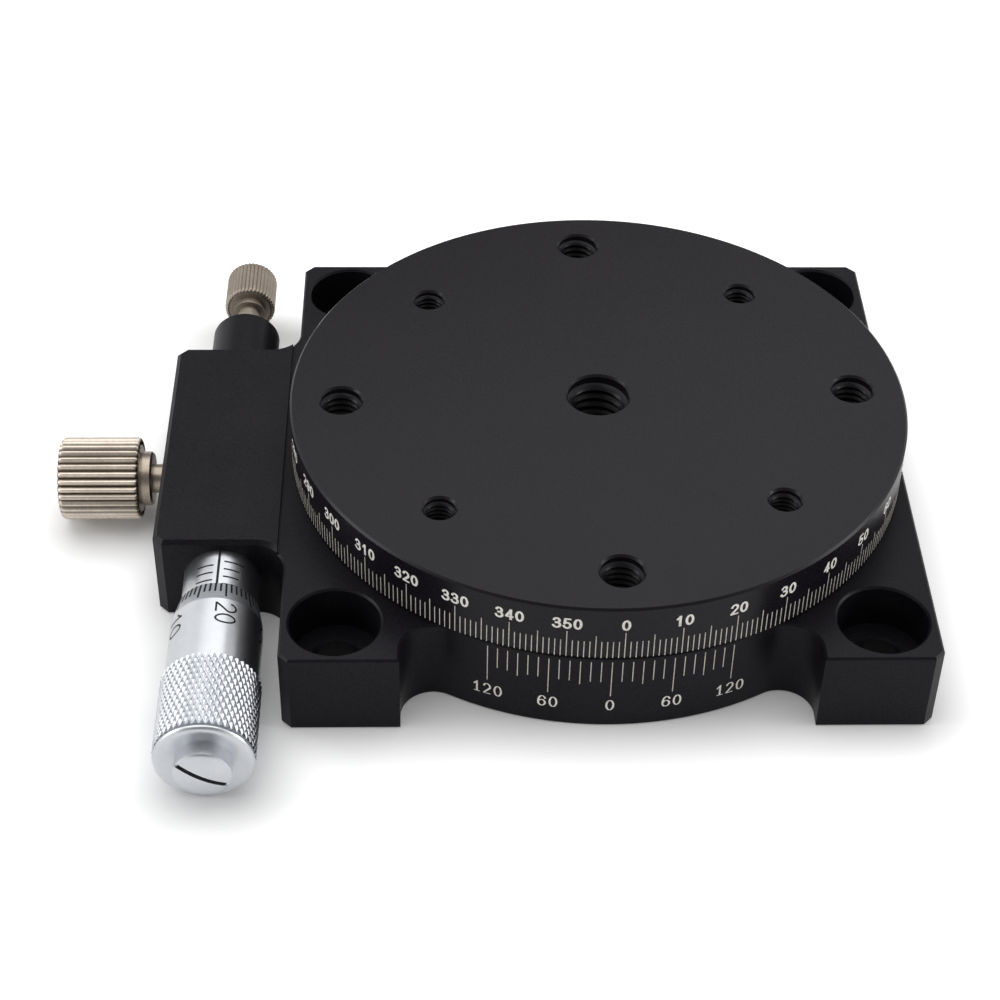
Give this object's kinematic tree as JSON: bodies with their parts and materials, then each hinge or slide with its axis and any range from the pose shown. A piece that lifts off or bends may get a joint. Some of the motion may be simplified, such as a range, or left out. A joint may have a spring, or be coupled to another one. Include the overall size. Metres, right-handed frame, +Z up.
{
  "type": "rotation stage",
  "caption": "Low manual rotation stage: round graduated table on a square bolt-down base, with a side micrometer for fine turning and a clamp thumbscrew.",
  "frame": {"origin": "on the table's turning axis, at the underside of the base", "axes": "+Z up along the turning axis, -X towards the micrometer block, -Y towards the micrometer's thimble and the vernier"},
  "size_m": [0.0831, 0.0728, 0.015],
  "materials": {
    "black_anodised": "fine-blasted black anodised aluminium",
    "black_anodised_table": "turned and black anodised aluminium, white-filled graduations",
    "cover_anodised": "black anodised sheet aluminium",
    "plain_aluminium": "machined aluminium",
    "bearing_steel": "ground and hardened bearing steel",
    "screw_steel": "blackened alloy steel",
    "spacer_resin": "moulded resin",
    "satin_chrome": "satin chrome-plated steel",
    "nickel_plate": "nickel-plated brass",
    "shoe_brass": "bare brass",
    "spring_steel": "music wire"
  },
  "bodies": {
    "base": {"base_body": "black_anodised", "bottom_cover": "cover_anodised", "cover_screws": "screw_steel", "outer_race": "bearing_steel", "micrometer_sleeve": "satin_chrome", "sleeve_set_screw": "screw_steel", "plunger_housing": "black_anodised", "housing_plug": "black_anodised", "return_spring": "spring_steel"},
    "spindle_tip": {"spindle_ball": "bearing_steel"},
    "thimble_set": {"thimble": "satin_chrome", "spindle": "bearing_steel", "thimble_cap": "satin_chrome"},
    "arm": {"tangent_arm": "plain_aluminium", "arm_pads": "bearing_steel"},
    "table": {"table_plate": "black_anodised_table", "rotor_hub": "plain_aluminium", "hub_screws": "screw_steel", "inner_race": "bearing_steel"},
    "roller_set": {"bearing_rollers": "bearing_steel", "bearing_spacers": "spacer_resin"},
    "shoe": {"clamp_shoe": "shoe_brass"},
    "clamp_knob": {"clamp_screw": "nickel_plate"},
    "plunger": {"plunger_pin": "bearing_steel"},
    "seat": {"spring_seat": "bearing_steel"},
    "preload_knob": {"preload_screw": "nickel_plate"}
  },
  "joints": [
    {"name": "spindle_travel", "type": "slide", "parent": "base", "child": "spindle_tip", "axis": [0, 1, 0], "range_m": [-0.00332, 0.00318]},
    {"name": "thimble_turn", "type": "hinge", "parent": "spindle_tip", "child": "thimble_set", "pos_m": [-0.03615, -0.03, 0.00465], "axis": [0, 1, 0], "range_deg": [-2405, 2300]},
    {"name": "fine_swing", "type": "hinge", "parent": "base", "child": "arm", "pos_m": [0, 0, 0.0037], "axis": [0, 0, 1], "range_deg": [-5.07, 5.3]},
    {"name": "coarse_rotation", "type": "hinge", "parent": "arm", "child": "table", "pos_m": [0, 0, 0.012], "axis": [0, 0, 1], "continuous": true},
    {"name": "roller_roll", "type": "hinge", "parent": "arm", "child": "roller_set", "pos_m": [0, 0, 0.0076], "axis": [0, 0, 1], "continuous": true},
    {"name": "clamp_travel", "type": "slide", "parent": "arm", "child": "shoe", "axis": [1, 0, 0], "range_m": [-0.0005, 0]},
    {"name": "clamp_turn", "type": "hinge", "parent": "shoe", "child": "clamp_knob", "pos_m": [-0.045, 0, 0.0043], "axis": [1, 0, 0], "range_deg": [-362, 0]},
    {"name": "plunger_travel", "type": "slide", "parent": "base", "child": "plunger", "axis": [0, 1, 0], "range_m": [-0.00334, 0.0032], "deforming": ["return_spring"]},
    {"name": "preload_travel", "type": "slide", "parent": "base", "child": "seat", "axis": [0, -1, 0], "range_m": [-0.00045, 0.00045], "deforming": ["return_spring"]},
    {"name": "preload_turn", "type": "hinge", "parent": "seat", "child": "preload_knob", "pos_m": [-0.03615, 0.028, 0.00465], "axis": [0, -1, 0], "range_deg": [-362, 362]}
  ],
  "couplings": [
    {"joint": "thimble_turn", "follows": "spindle_travel", "rad_per_m": 12566},
    {"joint": "plunger_travel", "follows": "spindle_travel", "ratio": 1},
    {"joint": "fine_swing", "follows": "spindle_travel", "rad_per_m": -27.663},
    {"joint": "roller_roll", "follows": "coarse_rotation", "ratio": 0.5},
    {"joint": "clamp_turn", "follows": "clamp_travel", "rad_per_m": 12566},
    {"joint": "preload_turn", "follows": "preload_travel", "rad_per_m": 13963}
  ]
}
